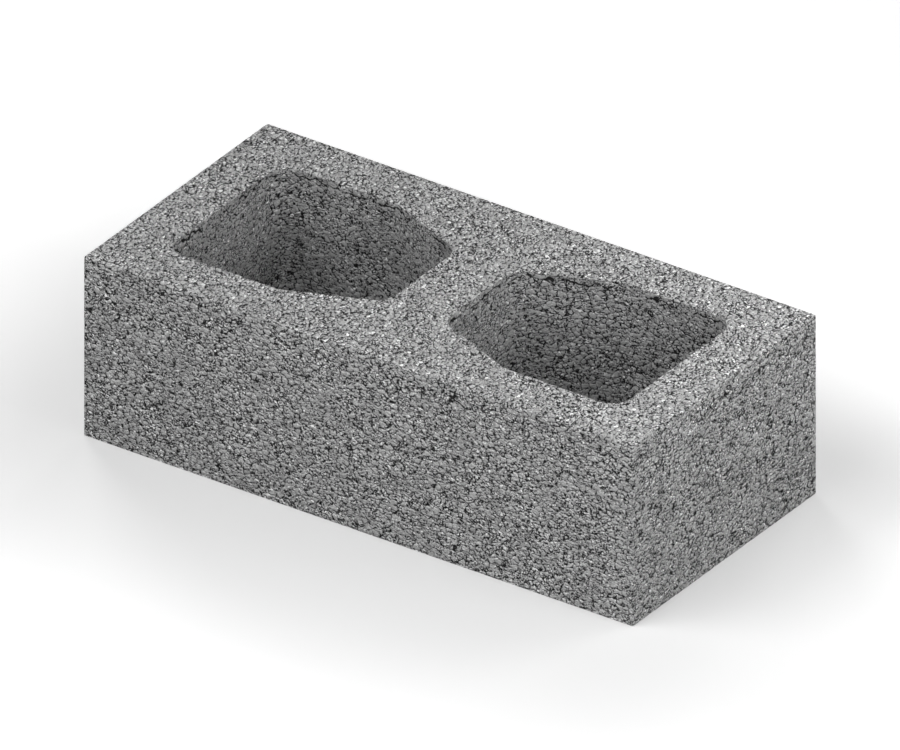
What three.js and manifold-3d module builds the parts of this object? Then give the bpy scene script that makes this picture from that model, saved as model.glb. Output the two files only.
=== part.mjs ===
// Hollow concrete masonry block, pressed in one piece, with two cores that run right through.
// Units are millimetres and +Z is up, as the block is laid. The origin is the middle of the
// bottom bed, on the centre web. X runs along the length and Y across the wall.

import * as THREE from 'three';
import * as BufferGeometryUtils from 'three/addons/utils/BufferGeometryUtils.js';
import Module from 'manifold-3d';

const wasm = await Module();
wasm.setup();

// Overall size
const length = 397;
const width = 191.5;
const height = 123;

// Walls, measured on the top bed, where the draft of the cores leaves them thickest
const endWall = 34.4;
const faceShell = 34.4;
const centreWeb = 41;

// Towards the centre web each face shell thickens, so each core narrows like a hexagon's end
const flareLength = 61;
const shellAtWeb = 59.2;

// Rounded corners of a core on the top bed
const endCornerRadius = 13;
const kneeRadius = 13;
const webCornerRadius = 13;

// How much further out a core's walls stand at the bottom bed than at the top bed
const coreDraft = 1.5;

// Arrises: the upright corners are rounded, the edges of the beds and the core rims are eased
const cornerRadius = 0.5;
const bedEase = 0.3;
const rimEase = 0.3;

// Fineness of the rounded corners: straight steps in a quarter turn of each
const coreCornerSteps = 8;
const blockCornerSteps = 2;

// How far a core cutter reaches past each bed
const overrun = 4;

const concrete = new THREE.MeshStandardMaterial({ color: 0x8f908e, roughness: 0.95, metalness: 0 });

// A convex outline with a round of its own at each corner: [{ x, y, radius }], anticlockwise.
// grow moves the whole outline outwards and keeps the rounds concentric, so that outlines
// with a different grow have matching points. A round never takes over half of a side.
function roundedOutline(corners, grow, steps) {
  const path = new THREE.Path();
  corners.forEach((corner, i) => {
    const here = new THREE.Vector2(corner.x, corner.y);
    const before = corners[(i + corners.length - 1) % corners.length];
    const after = corners[(i + 1) % corners.length];
    const into = here.clone().sub(before);
    const out = new THREE.Vector2(after.x, after.y).sub(here);
    const turn = Math.atan2(into.cross(out), into.dot(out));
    const reach = Math.min(into.length(), out.length()) / 2;
    const radius = Math.min(corner.radius, reach / Math.tan(turn / 2));
    const inwards = into.clone().normalize().rotateAround(new THREE.Vector2(), Math.PI / 2);
    const start = here.clone().addScaledVector(into.normalize(), -radius * Math.tan(turn / 2));
    const centre = start.addScaledVector(inwards, radius);
    const from = Math.atan2(-inwards.y, -inwards.x);
    path.absarc(centre.x, centre.y, radius + grow, from, from + turn, false);
  });
  return path.getPoints(steps / 2);
}

// A closed solid through matching outlines: [{ z, points }], from the lowest to the highest
function loft(rings) {
  const count = rings[0].points.length;
  const positions = rings.flatMap(({ z, points }) => points.flatMap(({ x, y }) => [x, y, z]));
  const index = [];
  for (let ring = 0; ring < rings.length - 1; ring += 1) {
    for (let i = 0; i < count; i += 1) {
      const a = ring * count + i;
      const b = ring * count + ((i + 1) % count);
      index.push(a, b, b + count, a, b + count, a + count);
    }
  }
  const top = (rings.length - 1) * count;
  for (const [a, b, c] of THREE.ShapeUtils.triangulateShape(rings[0].points, [])) {
    index.push(a, c, b, top + a, top + b, top + c);
  }
  const geometry = new THREE.BufferGeometry();
  geometry.setAttribute('position', new THREE.Float32BufferAttribute(positions, 3));
  geometry.setIndex(index);
  return geometry;
}

function toManifold(geometry) {
  const bare = geometry.clone();
  bare.deleteAttribute('normal');
  bare.deleteAttribute('uv');
  const merged = BufferGeometryUtils.mergeVertices(bare, 1e-4);
  const vertProperties = new Float32Array(merged.attributes.position.array);
  const triVerts = new Uint32Array(merged.index.array);
  return new wasm.Manifold(new wasm.Mesh({ numProp: 3, vertProperties, triVerts }));
}

function toGeometry(solid) {
  const { vertProperties, triVerts } = solid.getMesh();
  const geometry = new THREE.BufferGeometry();
  geometry.setAttribute('position', new THREE.BufferAttribute(vertProperties, 3));
  geometry.setIndex(new THREE.BufferAttribute(triVerts, 1));
  geometry.computeVertexNormals();
  return geometry;
}

// The block before its cores: upright corners rounded, both beds eased along their edges
function blockBody() {
  const x = length / 2;
  const y = width / 2;
  const radius = cornerRadius;
  const corners = [
    { x, y: -y, radius },
    { x, y, radius },
    { x: -x, y, radius },
    { x: -x, y: -y, radius },
  ];
  const ring = (z, inset) => ({ z, points: roundedOutline(corners, -inset, blockCornerSteps) });
  return loft([
    ring(0, bedEase),
    ring(bedEase, 0),
    ring(height - bedEase, 0),
    ring(height, bedEase),
  ]);
}

// What a core leaves open. side is 1 for the core at +X and -1 for the one at -X.
function coreCutter(side) {
  const atEnd = length / 2 - endWall;
  const atWeb = centreWeb / 2;
  const atKnee = atWeb + flareLength;
  const halfWide = width / 2 - faceShell;
  const halfNarrow = width / 2 - shellAtWeb;
  const corners = [
    { x: atEnd, y: -halfWide, radius: endCornerRadius },
    { x: atEnd, y: halfWide, radius: endCornerRadius },
    { x: atKnee, y: halfWide, radius: kneeRadius },
    { x: atWeb, y: halfNarrow, radius: webCornerRadius },
    { x: atWeb, y: -halfNarrow, radius: webCornerRadius },
    { x: atKnee, y: -halfWide, radius: kneeRadius },
  ];
  if (side < 0) {
    corners.reverse();
    corners.forEach((corner) => { corner.x = -corner.x; });
  }
  const wallAt = (z) => coreDraft * (1 - z / height);
  const ring = (z, rim) => ({ z, points: roundedOutline(corners, wallAt(z) + rim, coreCornerSteps) });
  return loft([
    ring(-overrun, rimEase + overrun),
    ring(rimEase, 0),
    ring(height - rimEase, 0),
    ring(height + overrun, rimEase + overrun),
  ]);
}

let solid = toManifold(blockBody());
for (const side of [-1, 1]) {
  solid = solid.subtract(toManifold(coreCutter(side)));
}

const block = new THREE.Mesh(toGeometry(solid), concrete);
block.name = 'concrete_block';

const model = new THREE.Group();
model.add(block);

export default model;
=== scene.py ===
"""Looks of a hollow concrete masonry block: the pressed, open-grained surface of its one casting."""

import math

import bmesh
import bpy
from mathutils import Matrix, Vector


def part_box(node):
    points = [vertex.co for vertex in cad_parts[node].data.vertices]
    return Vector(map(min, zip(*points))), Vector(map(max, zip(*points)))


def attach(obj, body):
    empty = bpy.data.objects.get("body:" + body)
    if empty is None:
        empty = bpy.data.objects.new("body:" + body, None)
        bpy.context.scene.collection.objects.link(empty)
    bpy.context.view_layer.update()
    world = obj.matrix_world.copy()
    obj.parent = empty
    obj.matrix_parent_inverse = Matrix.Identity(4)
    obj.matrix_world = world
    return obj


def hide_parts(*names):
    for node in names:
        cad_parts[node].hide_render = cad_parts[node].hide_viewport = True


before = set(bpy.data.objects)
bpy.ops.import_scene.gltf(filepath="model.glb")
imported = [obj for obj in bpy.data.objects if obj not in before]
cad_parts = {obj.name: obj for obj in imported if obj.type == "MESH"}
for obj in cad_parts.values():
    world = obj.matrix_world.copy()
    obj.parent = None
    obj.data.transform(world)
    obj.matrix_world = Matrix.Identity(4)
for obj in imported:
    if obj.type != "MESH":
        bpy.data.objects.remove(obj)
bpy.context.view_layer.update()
MM = 0.001
BLOCK = "concrete_block"

# Camera: a parallel view from the front right, high enough to look down into the cores
VIEW_AZIMUTH = math.radians(34.7)
VIEW_ELEVATION = math.radians(30.23)
VIEW_WIDTH = 0.53505
VIEW_DISTANCE = 3.0

# Soft round lamps: name, azimuth and elevation in degrees, distance and width in metres, power in watts
LAMPS = [
    ("high_front", 270, 52, 1.1, 0.5, 3.34),
    ("high_front_left", 225, 52, 2.4, 1.1, 16.1),
    ("low_front", 288, 14, 1.1, 0.5, 1.43),
    ("low_front_right", 324, 14, 1.1, 0.5, 1.69),
    ("right", 0, 32, 2.4, 1.1, 11.7),
    ("near_right", 0, 35, 0.5, 0.25, 0.212),
    ("near_right_back", 30, 35, 0.5, 0.25, 0.434),
    ("low_back", 100, 14, 2.4, 0.5, 7.19),
    ("low_back_left", 144, 14, 2.4, 1.1, 25.2),
]
LAMP_AIM = Vector((0, 0, 0.06))

# Floor: how pale it looks, how much light it throws back, its glow beside the block and farther off,
# and the distances over which that rises. The glow is painted light, weak beside the block so that its
# shadow shows, fading it into white farther off. Behind the block and to its left a distance counts for
# more
FLOOR_SIZE = 12.0
FLOOR_PALE = 0.88
FLOOR_BOUNCE = 0.4
FLOOR_GLOW = (0.117, 0.468)
GLOW_RISES = (0.02, 0.30)
GLOW_RIGHT_BACK = (1.0, 1.3, 1.0)
GLOW_LEFT_FRONT = (1.6, 1.0, 1.0)

# Aggregate: stones, the grains between them and the sand in the paste, all flattened by the press
STONE_SIZE = 4.4 * MM
GRAIN_SIZE = 1.9 * MM
SAND_SIZE = 0.9 * MM
FLATNESS = 1.35
PATTERN_SEED = 7
RAGGED_SIZE = 1.7 * MM
RAGGED_REACH = 1.1 * MM

# Where the mix lies loose or tight, and where its joints and gaps open. A pair runs from closed to open
# packing, and a width is a share of a stone or a grain. Each stone, grain and bit of sand has random
# numbers from 0 to 1: it is lost below the pair for lost ones, and flat or pale above the others
LOOSE_PATCH = 16.0 * MM
JOINT_PATCH = 4.0 * MM
JOINT_LOOSE = 0.23
# Joints and gaps open more on the side of a stone or grain away from the light, so that their painted
# shade lies there as its shadow
JOINT_SHADED_SIDE = 0.3
JOINT_OPENS = (0.38, 0.46)
JOINT_WIDENS = (0.44, 0.77)
JOINT_WIDTH = (0.037, 0.095)
GAP_PATCH = 1.3 * MM
GAP_LOOSE = 0.26
GAP_SHADED_SIDE = 0.4
GAP_OPENS = (0.485, 0.565)
GAP_WIDENS = (0.485, 0.70)
GAP_WIDTH = (0.02, 0.31)
PIT_PATCH = 7.0 * MM
PIT_OPENS = (0.40, 0.48)
PIT_RIM = (0.02, 0.14)
LOST_GRAINS = (0.012, 0.018)
FLAT_STONES = (0.55, 0.59)
FLAT_RIM = (0.08, 0.14)
FLAT_SMOOTHING = 0.85
STONE_DOME = (0.0, 0.3)
GRAIN_DOME = (0.0, 0.4)

# Relief of the mesh, and the finer heights that are left to the bump
JOINT_DEPTH = 0.2 * MM
GAP_DEPTH = 0.1 * MM
PIT_DEPTH = 0.5 * MM
LOWEST_GRAIN = 0.3
GRAIN_RISE = 0.35 * MM
SAND_RISE = 0.06 * MM
STONE_RISE = 0.6 * MM
GAP_DROP = 0.4 * MM
JOINT_DROP = 0.7 * MM
PIT_DROP = 0.6 * MM

# Tones, as shares of the grey of the dry paste, and how far they lie apart on the beds and on the faces;
# the wider spread on the beds is painted light and shade for the light that rakes their relief
GREY = 0.65
DARKEST_GRAIN = 0.85
GRAIN_TONES = 0.3
DARKEST_SAND = 0.85
SAND_TONES = 0.3
FLAT_PALER = 0.2
PALE_GRAINS = (0.968, 0.973)
GRAIN_PALER = 0.7
PALE_SAND = (0.940, 0.945)
SAND_PALER = 0.55
# Each grain's rim gets painted shade and its crown painted light
RIM_PAINTED_SHADE = 0.8
CROWN_PAINTED_LIGHT = 0.3
# Painted shade on the side of each stone and grain away from the light, painted light on the side toward
# it
STONE_SIDE_PAINTED_SHADE = 0.15
GRAIN_SIDE_PAINTED_SHADE = 0.5
# Painted shade in the gaps, joints and pits, where shade falls in the recesses
GAP_PAINTED_SHADE = 0.92
JOINT_PAINTED_SHADE = 0.95
PIT_PAINTED_SHADE = 0.8
LOOSE_PALER = 0.7
BED_PAINTED_CONTRAST = 1.22
FACE_CONTRAST = 1.07
ROUGHNESS = 0.92
GLOSS = 0.25

# Walls of the cores: the core bars slide out along them and leave them closer and smoother, and the
# walls are darkened with painted shade and keep less of the painted side shade
CORE_TIGHT = 0.02
CORE_SMOOTHER = 0.3
CORE_PAINTED_SHADE = 0.17
CORE_EDGE = (-20 * MM, -10 * MM)
# How much of the painted side shade the walls of the cores lose
CORE_SIDE_SHADE_LOST = 0.5

# Tears that follow an arris where the casting left the mould: their depth below the top bed, how far
# they wander, their half width, how long they run, and the packing at which they open
TEAR_WANDER = 6.0 * MM
TEAR_WIDTH = 0.7 * MM
TEAR_PATCH = 12.0 * MM
RIM_TEARS = (4.0 * MM, 3.0 * MM, (0.44, 0.50))
FACE_TEARS = (10.0 * MM, 6.0 * MM, (0.50, 0.54))

# Ways toward the light, for painted light and shade on stones and grains: up the upright faces, to the
# right on the beds
UPRIGHT_LIGHT_WAY = (0.0, 0.0, 1.0)
BED_LIGHT_WAY = (0.92, 0.39, 0.0)
LEVEL = (0.5, 0.8)

# Mesh of the casting
MESH_STEP = 1.0 * MM
FINER = 2
WELD = 0.001 * MM
FLAT_ANGLE = math.radians(0.1)
MOST_TRIANGLES = 196000
REST_PLACE = "rest_place"

# Sockets of a Mix node that mixes vectors
MIX_FIRST = 4
MIX_SECOND = 5
MIX_RESULT = 1


class Wiring:
    """Adds nodes to a tree and joins them; an input is given as a socket or as a plain value."""

    def __init__(self, tree):
        self.tree = tree

    def feed(self, socket, value):
        if isinstance(value, bpy.types.NodeSocket):
            self.tree.links.new(value, socket)
        else:
            socket.default_value = value

    def node(self, kind, settings=None, inputs=None):
        node = self.tree.nodes.new(kind)
        for name, value in (settings or {}).items():
            setattr(node, name, value)
        for name, value in (inputs or {}).items():
            self.feed(node.inputs[name], value)
        return node

    def math(self, operation, a, b=None):
        node = self.node("ShaderNodeMath", {"operation": operation})
        self.feed(node.inputs[0], a)
        if b is not None:
            self.feed(node.inputs[1], b)
        return node.outputs[0]

    def add(self, *values):
        total = values[0]
        for value in values[1:]:
            total = self.math("ADD", total, value)
        return total

    def times(self, *values):
        product = values[0]
        for value in values[1:]:
            product = self.math("MULTIPLY", product, value)
        return product

    def less(self, a, b):
        return self.math("SUBTRACT", a, b)

    def without(self, value, share):
        """The share that is left once value has taken its part of it away: 1 - value * share."""
        return self.less(1.0, self.times(value, share))

    def step(self, value, span, results=(0.0, 1.0)):
        """A smooth step from the first result, at the span's start, to the second, at its end."""
        inputs = {"Value": value, "From Min": span[0], "From Max": span[1],
                  "To Min": results[0], "To Max": results[1]}
        return self.node("ShaderNodeMapRange", {"interpolation_type": "SMOOTHSTEP"}, inputs).outputs[0]

    def vector(self, operation, a, b=None, scale=None):
        node = self.node("ShaderNodeVectorMath", {"operation": operation})
        self.feed(node.inputs[0], a)
        if b is not None:
            self.feed(node.inputs[1], b)
        if scale is not None:
            self.feed(node.inputs["Scale"], scale)
        return node.outputs

    def parts(self, vector):
        return self.node("ShaderNodeSeparateXYZ", inputs={"Vector": vector}).outputs

    def inverse(self, size):
        if isinstance(size, bpy.types.NodeSocket):
            return self.math("DIVIDE", 1.0, size)
        return 1.0 / size

    def noise(self, place, size, detail=0.0):
        inputs = {"Vector": place, "Scale": self.inverse(size), "Detail": detail}
        return self.node("ShaderNodeTexNoise", inputs=inputs).outputs

    def cells(self, place, size):
        inputs = {"Vector": place, "Scale": self.inverse(size)}
        return self.node("ShaderNodeTexVoronoi", inputs=inputs).outputs

    def cell_edge(self, place, size):
        """Distance to the nearest joint between cells, as a share of the cell size."""
        inputs = {"Vector": place, "Scale": self.inverse(size)}
        edge = self.node("ShaderNodeTexVoronoi", {"feature": "DISTANCE_TO_EDGE"}, inputs)
        return edge.outputs["Distance"]


def ragged(wiring, place):
    """How the place is moved about at random, so that what is drawn there gets ragged outlines."""
    noise = wiring.noise(place, RAGGED_SIZE, detail=1.0)["Color"]
    shift = wiring.vector("SUBTRACT", noise, (0.5, 0.5, 0.5))["Vector"]
    return wiring.vector("SCALE", shift, scale=2 * RAGGED_REACH)["Vector"]


def pressed(wiring, place):
    """The place as it was before the press flattened the mix."""
    return wiring.vector("MULTIPLY", place, (1.0, 1.0, FLATNESS))["Vector"]


def light_way(wiring, normal):
    """The way toward the light, for painted light and shade: up the upright faces, to the right on the
    level ones.
    """
    way = wiring.node("ShaderNodeMix", {"data_type": "VECTOR"})
    wiring.feed(way.inputs["Factor"], wiring.step(wiring.parts(normal)["Z"], LEVEL))
    wiring.feed(way.inputs[MIX_FIRST], UPRIGHT_LIGHT_WAY)
    wiring.feed(way.inputs[MIX_SECOND], BED_LIGHT_WAY)
    return way.outputs[MIX_RESULT]


def shaded_side_of_cell(wiring, place, cells, size, toward_light):
    """How far the place lies on the side of its cell's middle away from the light, in sizes of the cell.
    """
    offset = wiring.vector("SUBTRACT", cells["Position"], place)["Vector"]
    return wiring.times(wiring.vector("DOT_PRODUCT", offset, toward_light)["Value"], wiring.inverse(size))


def core_wall(wiring, place, normal):
    """1 on the walls of the cores, 0 on the outside of the block."""
    w = wiring
    inside = w.vector("SUBTRACT", w.vector("ABSOLUTE", place)["Vector"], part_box(BLOCK)[1])["Vector"]
    inside = w.parts(inside)
    inside = w.math("MAXIMUM", inside["X"], inside["Y"])
    within = w.step(inside, CORE_EDGE, (1.0, 0.0))
    return w.times(within, w.step(w.parts(normal)["Z"], LEVEL, (1.0, 0.0)))


def tears(wiring, height, place, kind):
    """Ragged cracks along a line below the top bed."""
    w = wiring
    depth, wander, opens = kind
    below = w.less(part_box(BLOCK)[1].z - depth, height)
    below = w.add(below, w.times(w.less(w.noise(place, TEAR_WANDER)["Fac"], 0.5), 2 * wander))
    line = edge_band(w, w.math("ABSOLUTE", below), TEAR_WIDTH)
    return w.times(line, w.step(w.noise(place, TEAR_PATCH)["Fac"], opens))


def aggregate(wiring, rest, stone_size, grain_size, seed, normal):
    """The packing that the relief and the finish share, at the place where the surface lay at rest.

    joint: an open joint beside a stone; flat: the flat face of a stone; gap: a gap between grains;
    pit: where a grain has fallen out; upright: 1 on a face that stands, 0 on a bed; loose: from -0.5
    where the mix is tight to 0.5 where it is loose."""
    w = wiring
    toward_light = light_way(w, normal)
    core = core_wall(w, rest, normal)
    seeded = w.vector("ADD", rest, seed)["Vector"]
    shift = ragged(w, seeded)
    place = w.vector("ADD", seeded, shift)["Vector"]
    cell_place = pressed(w, place)
    loose = w.less(w.noise(place, LOOSE_PATCH, detail=1.0)["Fac"], 0.5)

    stones = w.cells(cell_place, stone_size)
    stone = w.parts(stones["Color"])
    stone_edge = w.cell_edge(cell_place, stone_size)
    stone_shaded_side = shaded_side_of_cell(w, cell_place, stones, stone_size, toward_light)
    open_joint = w.add(w.noise(place, JOINT_PATCH)["Fac"], w.times(stone_shaded_side, JOINT_SHADED_SIDE))
    open_joint = w.add(open_joint, w.times(loose, JOINT_LOOSE), w.times(core, -CORE_TIGHT))
    width = w.step(open_joint, JOINT_WIDENS, JOINT_WIDTH)
    joint = w.times(edge_band(w, stone_edge, width), w.step(open_joint, JOINT_OPENS))
    height = w.parts(w.vector("ADD", rest, shift)["Vector"])["Z"]
    upright = w.step(w.math("ABSOLUTE", w.parts(normal)["Z"]), LEVEL, (1.0, 0.0))
    torn = w.times(tears(w, height, place, RIM_TEARS), core)
    torn = w.add(torn, w.times(tears(w, height, place, FACE_TEARS), upright, w.less(1.0, core)))
    joint = w.math("MAXIMUM", joint, torn)
    flat = w.times(w.step(stone["X"], FLAT_STONES), w.step(stone_edge, FLAT_RIM))

    grains = w.cells(cell_place, grain_size)
    grain = w.parts(grains["Color"])
    grain_edge = w.cell_edge(cell_place, grain_size)
    grain_shaded_side = shaded_side_of_cell(w, cell_place, grains, grain_size, toward_light)
    open_gap = w.add(w.noise(place, GAP_PATCH)["Fac"], w.times(grain_shaded_side, GAP_SHADED_SIDE))
    open_gap = w.add(open_gap, w.times(loose, GAP_LOOSE), w.times(core, -CORE_TIGHT))
    width = w.step(open_gap, GAP_WIDENS, GAP_WIDTH)
    gap = w.times(edge_band(w, grain_edge, width), w.step(open_gap, GAP_OPENS))

    lost = w.step(grain["X"], LOST_GRAINS, (1.0, 0.0))
    open_pit = w.step(w.noise(place, PIT_PATCH)["Fac"], PIT_OPENS)
    pit = w.times(lost, w.step(grain_edge, PIT_RIM), open_pit)
    return {"cell_place": cell_place, "core": core, "upright": upright, "loose": loose,
            "joint": joint, "flat": flat, "gap": gap, "pit": pit,
            "stone_shaded_side": stone_shaded_side, "stone_dome": w.step(stone_edge, STONE_DOME),
            "grain_shaded_side": grain_shaded_side, "grain_dome": w.step(grain_edge, GRAIN_DOME),
            "grain_tone": grain["Y"], "grain_level": grain["Z"]}


def edge_band(wiring, edge, width):
    """1 along a joint between cells, 0 beyond the width from it."""
    inputs = {"Value": edge, "From Min": wiring.times(width, 0.5), "From Max": width,
              "To Min": 1.0, "To Max": 0.0}
    return wiring.node("ShaderNodeMapRange", {"interpolation_type": "SMOOTHSTEP"}, inputs).outputs[0]


def relief_tree():
    """Geometry Nodes that press the packing of stones and grains into a smooth casting."""
    tree = bpy.data.node_groups.new("aggregate_relief", "GeometryNodeTree")
    face = tree.interface
    face.new_socket("Geometry", in_out="INPUT", socket_type="NodeSocketGeometry")
    for name, kind in (("Stone size", "Float"), ("Grain size", "Float"), ("Joint depth", "Float"),
                       ("Gap depth", "Float"), ("Pit depth", "Float"), ("Finer", "Int"),
                       ("Seed", "Int"), ("Material", "Material")):
        face.new_socket(name, in_out="INPUT", socket_type="NodeSocket" + kind)
    face.new_socket("Geometry", in_out="OUTPUT", socket_type="NodeSocketGeometry")
    w = Wiring(tree)
    given = w.node("NodeGroupInput").outputs
    rest = w.node("GeometryNodeInputPosition").outputs[0]
    normal = w.node("GeometryNodeInputNormal").outputs[0]
    seed = w.vector("SCALE", (1.0, 1.0, 1.0), scale=given["Seed"])["Vector"]
    pattern = aggregate(w, rest, given["Stone size"], given["Grain size"], seed, normal)
    inputs = {"Mesh": given["Geometry"], "Level": given["Finer"]}
    fine = w.node("GeometryNodeSubdivideMesh", inputs=inputs)
    kept = w.node("GeometryNodeStoreNamedAttribute", {"data_type": "FLOAT_VECTOR", "domain": "POINT"},
                  {"Geometry": fine.outputs[0], "Name": REST_PLACE, "Value": rest})
    gap = w.times(pattern["gap"], w.less(1.0, pattern["flat"]), given["Gap depth"])
    depth = w.math("MAXIMUM", w.times(pattern["joint"], given["Joint depth"]), gap)
    depth = w.math("MAXIMUM", depth, w.times(pattern["pit"], given["Pit depth"]))
    inwards = w.vector("SCALE", normal, scale=w.times(depth, -1.0))["Vector"]
    rough = w.node("GeometryNodeSetPosition", inputs={"Geometry": kept.outputs[0], "Offset": inwards})
    real = w.node("GeometryNodeRealizeInstances", inputs={"Geometry": rough.outputs[0]})
    finished = w.node("GeometryNodeSetMaterial", inputs={"Geometry": real.outputs[0]})
    w.feed(finished.inputs["Material"], given["Material"])
    w.feed(w.node("NodeGroupOutput").inputs["Geometry"], finished.outputs[0])
    return tree


def set_inputs(modifier, values):
    for item in modifier.node_group.interface.items_tree:
        if item.item_type == "SOCKET" and item.in_out == "INPUT" and item.name in values:
            modifier[item.identifier] = values[item.name]


def concrete():
    """Dry-pressed grey concrete: sand and small stones in grey paste, with painted shade in its gaps,
    joints, pits and cores and painted light and shade on its grains.
    """
    material = bpy.data.materials.new("grey_concrete")
    material.use_nodes = True
    w = Wiring(material.node_tree)
    shader = w.tree.nodes["Principled BSDF"]
    shader.inputs["Roughness"].default_value = ROUGHNESS
    shader.inputs["Specular IOR Level"].default_value = GLOSS
    rest = w.node("ShaderNodeAttribute", {"attribute_name": REST_PLACE}).outputs["Vector"]
    normal = w.node("ShaderNodeNewGeometry").outputs["True Normal"]
    pattern = aggregate(w, rest, STONE_SIZE, GRAIN_SIZE, (float(PATTERN_SEED),) * 3, normal)
    sand = w.parts(w.cells(pattern["cell_place"], SAND_SIZE)["Color"])
    grainy = w.without(pattern["flat"], FLAT_SMOOTHING)
    gap = w.times(pattern["gap"], grainy)
    dome = w.times(pattern["grain_dome"], w.add(LOWEST_GRAIN, pattern["grain_level"]), grainy)

    # Height of the surface, for the bump
    height = w.add(w.times(dome, GRAIN_RISE), w.times(sand["X"], SAND_RISE))
    height = w.add(height, w.times(pattern["stone_dome"], STONE_RISE))
    height = w.less(height, w.times(gap, GAP_DROP))
    height = w.less(height, w.times(pattern["joint"], JOINT_DROP))
    height = w.less(height, w.times(pattern["pit"], PIT_DROP))
    height = w.times(height, w.without(pattern["core"], CORE_SMOOTHER))
    bump = w.node("ShaderNodeBump", inputs={"Height": height, "Distance": 1.0, "Strength": 1.0})
    w.feed(shader.inputs["Normal"], bump.outputs[0])

    # Tone: each grain has its own, a few are pale, crowns get painted light and rims painted shade, and
    # gaps get painted shade. The beds' tones lie farther apart than those of the faces: painted light
    # and shade for the light that rakes their relief
    tone = w.add(DARKEST_GRAIN, w.times(pattern["grain_tone"], grainy, GRAIN_TONES))
    tone = w.add(tone, w.times(w.less(1.0, grainy), FLAT_PALER))
    tone = w.times(tone, w.add(DARKEST_SAND, w.times(sand["X"], SAND_TONES)))
    tone = w.add(tone, w.times(w.step(pattern["grain_level"], PALE_GRAINS), GRAIN_PALER))
    tone = w.add(tone, w.times(w.step(sand["Y"], PALE_SAND), SAND_PALER))
    # Painted light on the crown of each grain, painted shade at its rim
    tone = w.times(tone, w.add(RIM_PAINTED_SHADE, w.times(dome, CROWN_PAINTED_LIGHT)))
    # Painted light and shade on the sides of stones and grains: darker away from the light, paler toward
    # it, less in the cores
    painted_side_shade = w.times(pattern["stone_shaded_side"], STONE_SIDE_PAINTED_SHADE)
    painted_side_shade = w.add(painted_side_shade, w.times(pattern["grain_shaded_side"], GRAIN_SIDE_PAINTED_SHADE))
    painted_side_shade = w.times(painted_side_shade, w.without(pattern["core"], CORE_SIDE_SHADE_LOST))
    tone = w.times(tone, w.less(1.0, painted_side_shade))
    # Painted shade in the gaps, joints and pits
    tone = w.times(tone, w.without(gap, GAP_PAINTED_SHADE), w.without(pattern["joint"], JOINT_PAINTED_SHADE))
    # Painted shade on the walls of the cores
    tone = w.times(tone, w.without(pattern["pit"], PIT_PAINTED_SHADE), w.without(pattern["core"], CORE_PAINTED_SHADE))
    # Painted light and shade: the beds' tones spread wider, for the light raking their relief
    contrast = w.step(pattern["upright"], (0.0, 1.0), (BED_PAINTED_CONTRAST, FACE_CONTRAST))
    tone = w.math("POWER", tone, contrast)
    tone = w.times(tone, w.add(1.0, w.times(pattern["loose"], LOOSE_PALER)), GREY)
    colour = w.node("ShaderNodeCombineColor", inputs={"Red": tone, "Green": tone, "Blue": tone})
    w.feed(shader.inputs["Base Color"], colour.outputs[0])
    return material


def even_mesh(node, step):
    """A copy of a CAD solid's mesh, cut by planes into faces no wider than the step, its edges sharp."""
    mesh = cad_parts[node].data.copy()
    solid = bmesh.new()
    solid.from_mesh(mesh)
    bmesh.ops.remove_doubles(solid, verts=solid.verts, dist=WELD)
    bmesh.ops.dissolve_limit(solid, angle_limit=FLAT_ANGLE, verts=solid.verts, edges=solid.edges)
    low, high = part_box(node)
    for axis in (2, 0, 1):
        count = math.ceil((high[axis] - low[axis]) / step)
        across = Vector([float(k == axis) for k in range(3)])
        for cut in range(1, count):
            place = across * (low[axis] + (high[axis] - low[axis]) * cut / count)
            whole = solid.verts[:] + solid.edges[:] + solid.faces[:]
            bmesh.ops.bisect_plane(solid, geom=whole, dist=WELD, plane_co=place, plane_no=across)
    for face in solid.faces:
        face.smooth = False
    solid.to_mesh(mesh)
    solid.free()
    mesh.materials.clear()
    return mesh


def casting(material):
    """The block: the CAD solid in an even mesh, with the relief of its aggregate."""
    rough = bpy.data.objects.new("rough_casting", even_mesh(BLOCK, 2 ** FINER * MESH_STEP))
    bpy.context.scene.collection.objects.link(rough)
    relief = rough.modifiers.new("relief", "NODES")
    relief.node_group = relief_tree()
    set_inputs(relief, {"Stone size": STONE_SIZE, "Grain size": GRAIN_SIZE, "Joint depth": JOINT_DEPTH,
                        "Gap depth": GAP_DEPTH, "Pit depth": PIT_DEPTH, "Finer": FINER,
                        "Seed": PATTERN_SEED, "Material": material})
    dense = evaluated_mesh(rough, "dense_casting")
    rough.modifiers.clear()
    rough.data = dense
    thin = rough.modifiers.new("thin", "DECIMATE")
    thin.use_collapse_triangulate = True
    triangles = 2 * len(dense.polygons)
    thin.ratio = MOST_TRIANGLES / triangles
    block = bpy.data.objects.new("block_casting", evaluated_mesh(rough, "block_casting"))
    bpy.data.objects.remove(rough)
    bpy.context.scene.collection.objects.link(block)
    return block


def evaluated_mesh(piece, name):
    """A plain mesh of the piece with its modifiers applied."""
    mesh = bpy.data.meshes.new_from_object(piece.evaluated_get(bpy.context.evaluated_depsgraph_get()))
    mesh.name = name
    return mesh


def seen_directly(wiring):
    """1 for what the camera sees, straight, in a gloss or through glass; 0 for light on the block."""
    path = wiring.node("ShaderNodeLightPath").outputs
    seen = wiring.math("MAXIMUM", path["Is Camera Ray"], path["Is Glossy Ray"])
    return wiring.math("MAXIMUM", seen, path["Is Transmission Ray"])


def plain_grey(wiring, level):
    return wiring.node("ShaderNodeBsdfDiffuse", inputs={"Color": (level, level, level, 1.0)}).outputs[0]


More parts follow.
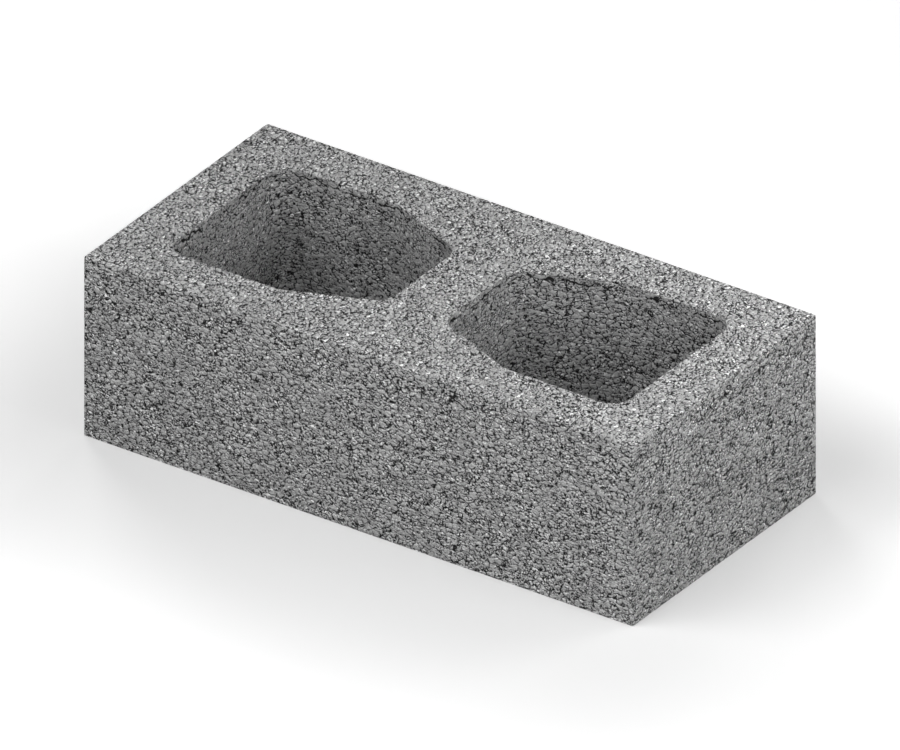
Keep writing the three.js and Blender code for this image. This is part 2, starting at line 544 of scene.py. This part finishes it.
def beyond_block(wiring, place):
    """How far the floor at the place lies beyond the block, weighed by each side's own shares."""
    w = wiring
    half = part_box(BLOCK)[1]
    right_back = w.vector("SUBTRACT", place, half)["Vector"]
    right_back = w.vector("MULTIPLY", right_back, GLOW_RIGHT_BACK)["Vector"]
    left_front = w.vector("SUBTRACT", w.vector("SCALE", place, scale=-1.0)["Vector"], half)["Vector"]
    left_front = w.vector("MULTIPLY", left_front, GLOW_LEFT_FRONT)["Vector"]
    beyond = w.vector("MAXIMUM", right_back, left_front)["Vector"]
    return w.vector("MAXIMUM", beyond, (0.0, 0.0, 0.0))["Vector"]


def floor_material():
    """White to the camera through a painted glow, weaker beside the block, apart from its shadow; grey
    for the light that it throws back.
    """
    material = bpy.data.materials.new("studio_floor")
    material.use_nodes = True
    w = Wiring(material.node_tree)
    w.tree.nodes.remove(w.tree.nodes["Principled BSDF"])
    place = w.node("ShaderNodeTexCoord").outputs["Object"]
    glow = w.step(w.vector("LENGTH", beyond_block(w, place))["Value"], GLOW_RISES, FLOOR_GLOW)
    white = w.node("ShaderNodeAddShader")
    w.feed(white.inputs[0], plain_grey(w, FLOOR_PALE))
    w.feed(white.inputs[1], w.node("ShaderNodeEmission", inputs={"Strength": glow}).outputs[0])
    choice = w.node("ShaderNodeMixShader")
    w.feed(choice.inputs[0], seen_directly(w))
    w.feed(choice.inputs[1], plain_grey(w, FLOOR_BOUNCE))
    w.feed(choice.inputs[2], white.outputs[0])
    w.feed(w.tree.nodes["Material Output"].inputs["Surface"], choice.outputs[0])
    return material


def studio_floor():
    mesh = bpy.data.meshes.new("studio_floor")
    half = FLOOR_SIZE / 2
    corners = [(-half, -half, 0), (half, -half, 0), (half, half, 0), (-half, half, 0)]
    mesh.from_pydata(corners, [], [(0, 1, 2, 3)])
    mesh.materials.append(floor_material())
    floor = bpy.data.objects.new("studio_floor", mesh)
    bpy.context.scene.collection.objects.link(floor)


def white_surround():
    world = bpy.data.worlds.new("white_surround")
    bpy.context.scene.world = world
    world.use_nodes = True
    w = Wiring(world.node_tree)
    background = w.tree.nodes["Background"]
    background.inputs["Color"].default_value = (1, 1, 1, 1)
    w.feed(background.inputs["Strength"], seen_directly(w))


def soft_lamp(name, azimuth, elevation, distance, width, power):
    light = bpy.data.lights.new(name, "AREA")
    light.shape = "DISK"
    light.size = width
    light.energy = power
    lamp = bpy.data.objects.new(name, light)
    bpy.context.scene.collection.objects.link(lamp)
    turn = math.radians(azimuth)
    rise = math.radians(elevation)
    away = Vector((math.cos(turn) * math.cos(rise), math.sin(turn) * math.cos(rise), math.sin(rise)))
    lamp.location = LAMP_AIM + away * distance
    lamp.rotation_euler = (-away).to_track_quat("-Z", "Y").to_euler()


def camera():
    low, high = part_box(BLOCK)
    lens = bpy.data.cameras.new("camera")
    lens.type = "ORTHO"
    lens.ortho_scale = VIEW_WIDTH
    lens.clip_end = 2 * VIEW_DISTANCE + FLOOR_SIZE
    eye = bpy.data.objects.new("camera", lens)
    bpy.context.scene.collection.objects.link(eye)
    flat = math.cos(VIEW_ELEVATION)
    across = -math.sin(VIEW_AZIMUTH) * flat
    along = math.cos(VIEW_AZIMUTH) * flat
    look = Vector((across, along, -math.sin(VIEW_ELEVATION)))
    eye.location = (low + high) / 2 - look * VIEW_DISTANCE
    eye.rotation_euler = (math.pi / 2 - VIEW_ELEVATION, 0, VIEW_AZIMUTH)
    bpy.context.scene.camera = eye


camera()
white_surround()
studio_floor()
for lamp in LAMPS:
    soft_lamp(*lamp)
bpy.context.scene.view_settings.view_transform = "Standard"

block = casting(concrete())
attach(block, "root")
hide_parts(BLOCK)
